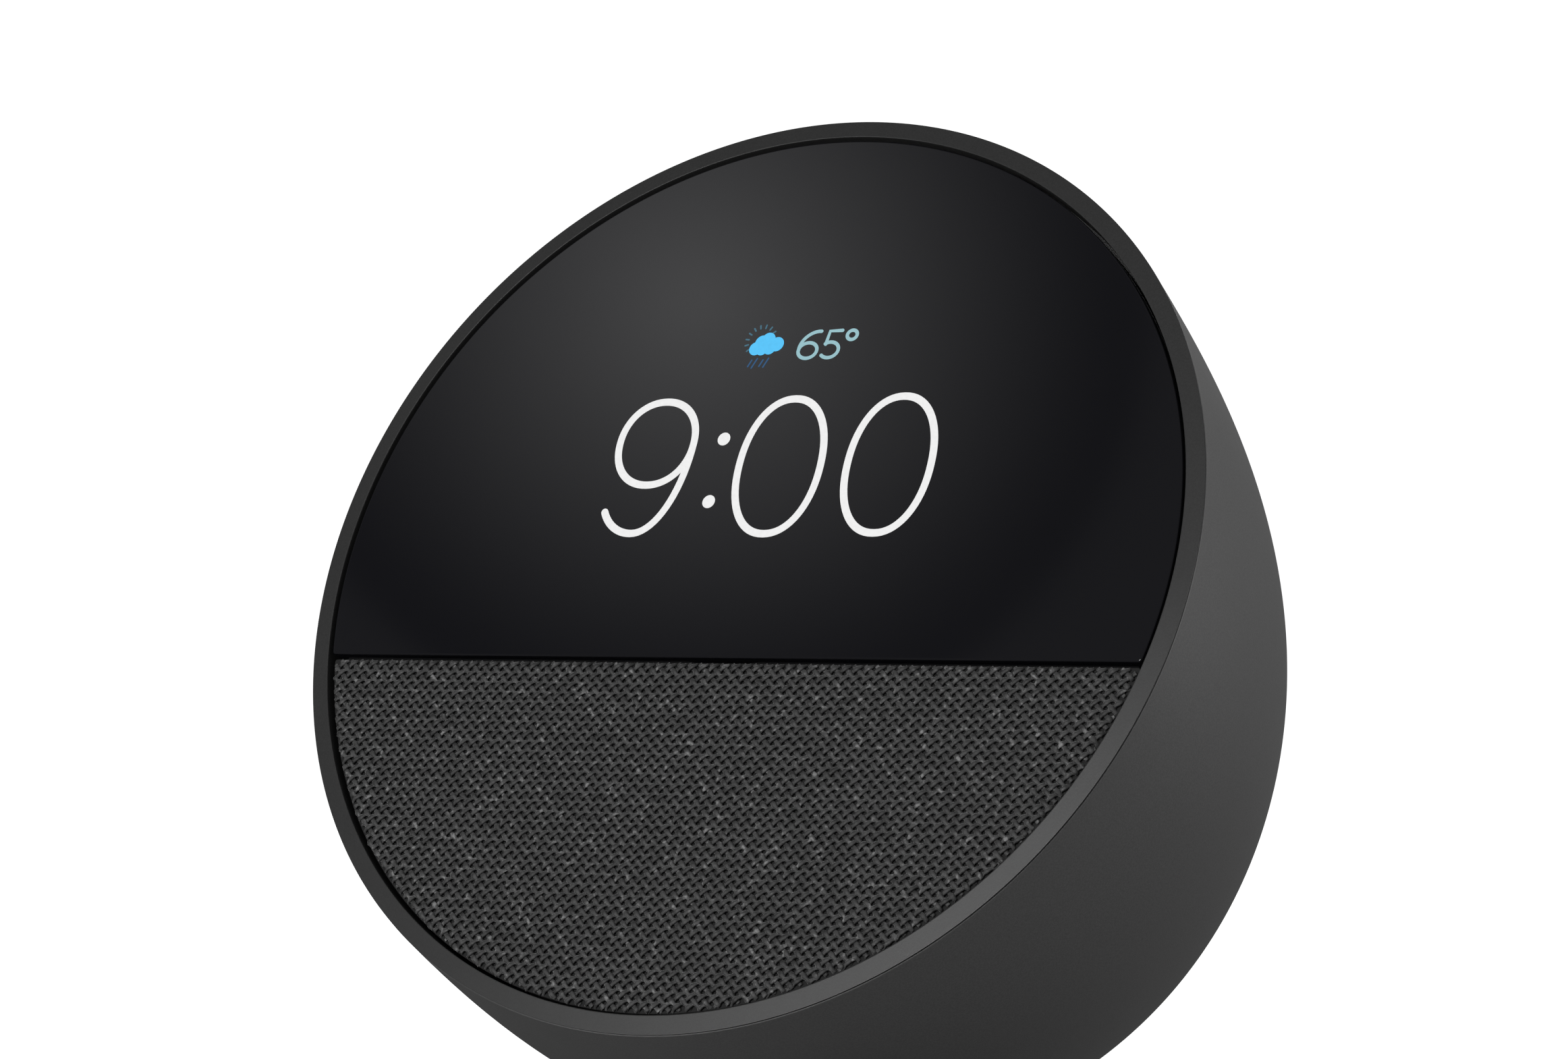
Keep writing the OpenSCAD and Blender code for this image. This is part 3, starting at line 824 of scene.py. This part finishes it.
def build_fabric():
    """A plain weave of separate threads over a near-black sheet whose colour is painted shade, so that the holes
    between the threads read dark.
    """
    outline = segment_outline(INSERT_R, CHORD, -1, 0.5 * MM)
    # the near-black sheet under the threads; its colour is painted shade for the holes
    shade_sheet = outline_slab("fabric_hole_shade", outline, HOLE_SHADE_TOP - HOLE_SHADE_THICK, HOLE_SHADE_TOP,
                           HOLE_SHADE_THICK / 2, HOLE_SHADE_SHEET)
    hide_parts("speaker_fabric")
    rising = build_threads("fabric_threads_rising", WEAVE_LEAN, 1)
    falling = build_threads("fabric_threads_falling", -WEAVE_LEAN, -1)


# ---------------------------------------------------------------------------
# Buttons, base and foot
# ---------------------------------------------------------------------------

def cap_height(r):
    """Height of a cap's top above the ball, falling away with the ball."""
    return 0.22 * MM - r * r / (2 * BUTTON_CURVE)


def build_button(name, body, marks):
    """A crowned cap with its skirt and stem, and the mark printed on it."""
    spot, out = button_spot(name)
    side = side_of(out)
    up = out.cross(side)
    edge = BUTTON_R - 0.35 * MM
    profile = [(r * edge / 8, cap_height(r * edge / 8)) for r in range(9)]
    for k in range(1, 6):
        a = math.radians(18 * k)
        profile.append((edge + 0.35 * MM * math.sin(a),
                        cap_height(edge) - 0.35 * MM * (1 - math.cos(a))))
    profile += [(BUTTON_R, -2.9 * MM), (BUTTON_R + 0.85 * MM, -2.95 * MM),
                (BUTTON_R + 1 * MM, -3.1 * MM), (BUTTON_R + 1 * MM, -3.7 * MM),
                (1.4 * MM, -3.7 * MM), (1.4 * MM, -5.35 * MM), (0, -5.35 * MM)]
    points, faces = lathe(profile, spot, out, side, 96)
    mesh = mesh_from(name + "_cap", points, faces)
    clean(mesh, weld=True)
    sharp_edges(mesh, 50)
    cap = add_object(name + "_cap", mesh, BUTTON_PLASTIC, body)
    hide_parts(name + "_button")

    def place(x, y, h):
        r = math.hypot(x, y) * MM
        return spot + side * x * MM + up * y * MM + out * (cap_height(r) + h * MM)

    parts = [ribbon(path, 0.42, place, -0.02, 0.03, closed) for path, closed in marks]
    points, faces = gather(parts)
    mesh = mesh_from(name + "_mark", points, faces)
    clean(mesh)
    mark = add_object(name + "_mark", mesh, MARK, body, smooth=False)


def line(ax, ay, bx, by, count=6):
    """Points along a straight line, so that a stroke follows the cap's curve."""
    return [(ax + (bx - ax) * k / count, ay + (by - ay) * k / count) for k in range(count + 1)]


def build_buttons():
    """The three buttons, with their marks in millimetres on the cap."""
    minus = [(line(-1.3, 0, 1.3, 0), False)]
    plus = minus + [(line(0, -1.3, 0, -0.21), False), (line(0, 0.21, 0, 1.3), False)]
    capsule = ellipse_path(0, 0.75, 0.55, 0.55, 0, 180)
    capsule += ellipse_path(0, -0.15, 0.55, 0.55, 180, 360)
    cradle = ellipse_path(0, -0.1, 1.15, 1.05, 190, 350)
    stand = line(0, -1.2, 0, -1.75, 3)
    slash = line(-1.55, 1.45, 1.55, -1.55)
    build_button("volume_down", "volume_down", minus)
    build_button("volume_up", "volume_up", plus)
    build_button("microphone", "microphone_off",
                 [(capsule, True), (cradle, False), (stand, False), (slash, False)])


def build_foot():
    """The rubber foot, with shallow grip grooves around its tread."""
    low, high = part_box("rubber_foot")
    r, top = (high.x - low.x) / 2, high.z - low.z
    profile = [(0, 0.35 * MM), (r - 6.4 * MM, 0.35 * MM)]
    tread_from = r - 6.2 * MM
    for k in range(6):
        x = tread_from + k * 0.95 * MM
        profile += [(x, 0.3 * MM), (x + 0.12 * MM, 0.02 * MM), (x + 0.62 * MM, 0),
                    (x + 0.74 * MM, 0.28 * MM)]
    profile += [(r - 0.35 * MM, 0.05 * MM), (r - 0.1 * MM, 0.18 * MM), (r, 0.42 * MM),
                (r, top), (0, top)]
    points, faces = lathe(profile, Vector((BASE.x, BASE.y, low.z)), Vector((0, 0, 1)), RIGHT, 192)
    mesh = mesh_from("foot_tread", points, faces)
    clean(mesh)
    sharp_edges(mesh, 35)
    piece = add_object("foot_tread", mesh, RUBBER)
    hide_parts("rubber_foot")



# ---------------------------------------------------------------------------
# Materials of the CAD nodes that stay
# ---------------------------------------------------------------------------

SLOT_MATERIALS = {
    "housing_plastic": HOUSING_PLASTIC,
    "ring_plastic": RING_PLASTIC,
    "lens_glass": LENS,
    "frame_plastic": DARK_PLASTIC,
    "button_plastic": BUTTON_PLASTIC,
    "base_plastic": BASE_PLASTIC,
    "foot_rubber": RUBBER,
    "speaker_cloth": THREAD,
    "dark_adhesive": moulded("dark_adhesive", grey(0.02), 0.8),
    "panel_glass": moulded("panel_glass", grey(0.01), 0.15, grain=0.002 * MM),
    "tray_metal": metal("tray_metal", grey(0.62), 0.35, (1, 12, 1)),
    "flex_film": moulded("flex_film", (0.40, 0.17, 0.04), 0.35, grain=0.004 * MM),
    "foam": moulded("foam", grey(0.02), 0.9, grain=0.1 * MM, scale=2500),
    "basket_metal": moulded("basket_metal", grey(0.05), 0.4),
    "surround_rubber": moulded("surround_rubber", grey(0.02), 0.6),
    "cone_paper": moulded("cone_paper", (0.045, 0.038, 0.032), 0.85, grain=0.08 * MM, scale=1800),
    "coil_copper": metal("coil_copper", (0.62, 0.29, 0.13), 0.3, (1, 1, 40)),
    "spider_cloth": moulded("spider_cloth", (0.42, 0.27, 0.10), 0.85, grain=0.1 * MM, scale=2500),
    "magnet_ferrite": moulded("magnet_ferrite", grey(0.045), 0.55, spots=0.3),
    "motor_steel": metal("motor_steel", grey(0.52), 0.35),
    "screw_steel": metal("screw_steel", grey(0.45), 0.3),
    "board_laminate": moulded("board_laminate", (0.012, 0.10, 0.045), 0.4, spots=0.25, scale=900),
    "can_metal": metal("can_metal", grey(0.66), 0.3, (8, 1, 1)),
    "chip_resin": moulded("chip_resin", grey(0.02), 0.6),
    "pad_silicone": moulded("pad_silicone", (0.22, 0.36, 0.44), 0.7),
    "sink_aluminium": metal("sink_aluminium", grey(0.60), 0.4, (1, 10, 1)),
    "connector_plastic": moulded("connector_plastic", (0.70, 0.67, 0.58), 0.5),
    "jack_plastic": moulded("jack_plastic", grey(0.015), 0.3),
    "pin_metal": metal("pin_metal", (0.78, 0.58, 0.24), 0.22),
    "lead_red": moulded("lead_red", (0.35, 0.02, 0.02), 0.4),
    "lead_black": moulded("lead_black", grey(0.015), 0.4),
    "switch_plastic": moulded("switch_plastic", grey(0.03), 0.5),
    "plunger_plastic": moulded("plunger_plastic", (0.70, 0.67, 0.58), 0.5),
    "seal_silicone": moulded("seal_silicone", grey(0.10), 0.7),
    "bracket_plastic": moulded("bracket_plastic", grey(0.25), 0.5),
    "mic_metal": metal("mic_metal", (0.60, 0.56, 0.44), 0.3),
}


def dress_nodes():
    """Gives each CAD node that stays the material of its slot."""
    slots = {row["node"]: row["material_slot"] for row in frame["record"]["subparts"]}
    for name, node in frame["nodes"].items():
        node.data.materials.clear()
        node.data.materials.append(SLOT_MATERIALS[slots[name]])


# ---------------------------------------------------------------------------
# Stage, light and camera
# ---------------------------------------------------------------------------

FLOOR_GLOW = 1.0                    # the floor is pale but doesn't light the object
SOFTBOX = 1.25
SOFTBOX_FADE = 1.62                 # how fast it fades towards its edge
ROOM = 0.105                        # grey of the room around it
LIGHT_SIDE = 0.5                    # soft boxes, all at the same distance
LIGHT_DISTANCE = 1.0


def direction(azimuth, elevation):
    """Azimuth 0 is in front of the object, and 90 to its right."""
    return Vector((math.sin(azimuth) * math.cos(elevation),
                   -math.cos(azimuth) * math.cos(elevation), math.sin(elevation)))


def aim(item, target):
    item.rotation_mode = "QUATERNION"
    item.rotation_quaternion = (target - item.location).to_track_quat("-Z", "Y")


def area_light(name, azimuth, elevation, watts):
    """A square soft box that faces the object."""
    data = bpy.data.lights.new(name, "AREA")
    data.shape = "RECTANGLE"
    data.size, data.size_y = LIGHT_SIDE, LIGHT_SIDE
    data.energy = watts
    item = bpy.data.objects.new(name, data)
    bpy.context.scene.collection.objects.link(item)
    way = direction(math.radians(azimuth), math.radians(elevation))
    item.location = FACE + way * LIGHT_DISTANCE
    aim(item, FACE)


def build_floor():
    """A pale floor that turns up into a low wall all round."""
    rings = [(0.0, 0.0), (0.6, 0.0), (1.4, 0.0)]
    rings += [(1.4 + 0.3 * math.sin(a), 0.3 * (1 - math.cos(a)))
              for a in [math.radians(k * 15) for k in range(1, 7)]]
    rings.append((1.7, 0.6))
    points, faces = lathe(rings, Vector((0, 0, TABLE_Z)), Vector((0, 0, 1)), RIGHT, 96)
    floor = bpy.data.objects.new("floor", mesh_from("floor", points, faces))
    bpy.context.scene.collection.objects.link(floor)
    for face in floor.data.polygons:
        face.use_smooth = True
    material, tree, shader = new_material("pale_floor")
    shader.inputs["Base Color"].default_value = (0.35, 0.35, 0.35, 1)
    shader.inputs["Roughness"].default_value = 0.9
    shader.inputs["Emission Color"].default_value = (1, 1, 1, 1)
    shader.inputs["Emission Strength"].default_value = FLOOR_GLOW
    floor.data.materials.append(material)
    floor.visible_diffuse = False
    floor.visible_glossy = False


def build_softbox():
    """A round screen, high on the left, that fades from its middle outwards.
    It makes the soft gleam at the top of the lens."""
    points, faces = lathe([(0, 0), (1, 0)], Vector((0, 0, 0)), Vector((0, 0, 1)), RIGHT, 64)
    screen = bpy.data.objects.new("softbox", mesh_from("softbox", points, faces))
    bpy.context.scene.collection.objects.link(screen)
    azimuth, elevation, half_angle = math.radians(-46.8), math.radians(44.1), math.radians(6.35)
    distance = 8.0
    way = direction(azimuth, elevation)
    screen.location = FACE + distance * way
    screen.rotation_mode = "QUATERNION"
    screen.rotation_quaternion = way.to_track_quat("Z", "Y")
    radius = distance * math.tan(half_angle)
    screen.scale = (radius, radius, radius)
    material = bpy.data.materials.new("softbox_screen")
    material.use_nodes = True
    tree = material.node_tree
    tree.nodes.clear()
    coord = tree.nodes.new("ShaderNodeTexCoord")
    fade = tree.nodes.new("ShaderNodeTexGradient")
    fade.gradient_type = "SPHERICAL"
    lamp = tree.nodes.new("ShaderNodeEmission")
    curve = tree.nodes.new("ShaderNodeMath")
    curve.operation = "POWER"
    curve.inputs[1].default_value = SOFTBOX_FADE
    scale = tree.nodes.new("ShaderNodeMath")
    scale.operation = "MULTIPLY"
    scale.inputs[1].default_value = SOFTBOX
    end = tree.nodes.new("ShaderNodeOutputMaterial")
    tree.links.new(coord.outputs["Object"], fade.inputs["Vector"])
    tree.links.new(fade.outputs["Fac"], curve.inputs[0])
    tree.links.new(curve.outputs["Value"], scale.inputs[0])
    tree.links.new(scale.outputs["Value"], lamp.inputs["Strength"])
    tree.links.new(lamp.outputs["Emission"], end.inputs["Surface"])
    screen.data.materials.append(material)


def build_world():
    world = bpy.data.worlds.new("studio")
    bpy.context.scene.world = world
    world.use_nodes = True
    world.node_tree.nodes["Background"].inputs["Color"].default_value = (ROOM, ROOM, ROOM, 1)


def build_lights():
    area_light("key", 0, 20, 6.7)
    area_light("fill", -20, 5, 4.2)
    area_light("right", 95, 3, 1.5)
    area_light("right_back", 118, 4, 3.6)
    area_light("back", 160, 40, 2.5)


def build_camera():
    """The photograph's view: a long lens, low and to the right of the front."""
    data = bpy.data.cameras.new("camera")
    camera = bpy.data.objects.new("camera", data)
    bpy.context.scene.collection.objects.link(camera)
    azimuth, elevation, distance = math.radians(31.1), math.radians(-0.38), 484.3 * MM
    yaw, pitch = math.radians(-0.614), math.radians(-0.3785)
    camera.location = FACE + distance * direction(azimuth, elevation)
    turned = azimuth + yaw
    look = -direction(turned, elevation + pitch)
    right = Vector((math.cos(turned), math.sin(turned), 0))
    up = right.cross(look)
    camera.rotation_mode = "QUATERNION"
    camera.rotation_quaternion = Matrix((right, up, -look)).transposed().to_quaternion()
    data.lens = 99.05
    data.sensor_width = 36
    data.clip_start = 0.01
    bpy.context.scene.camera = camera


build_housing()
build_ring()
build_lens()
build_clock()
build_weather()
build_fabric()
build_buttons()
build_foot()
dress_nodes()
build_floor()
build_softbox()
build_world()
build_lights()
build_camera()
bpy.context.scene.view_settings.view_transform = "Standard"
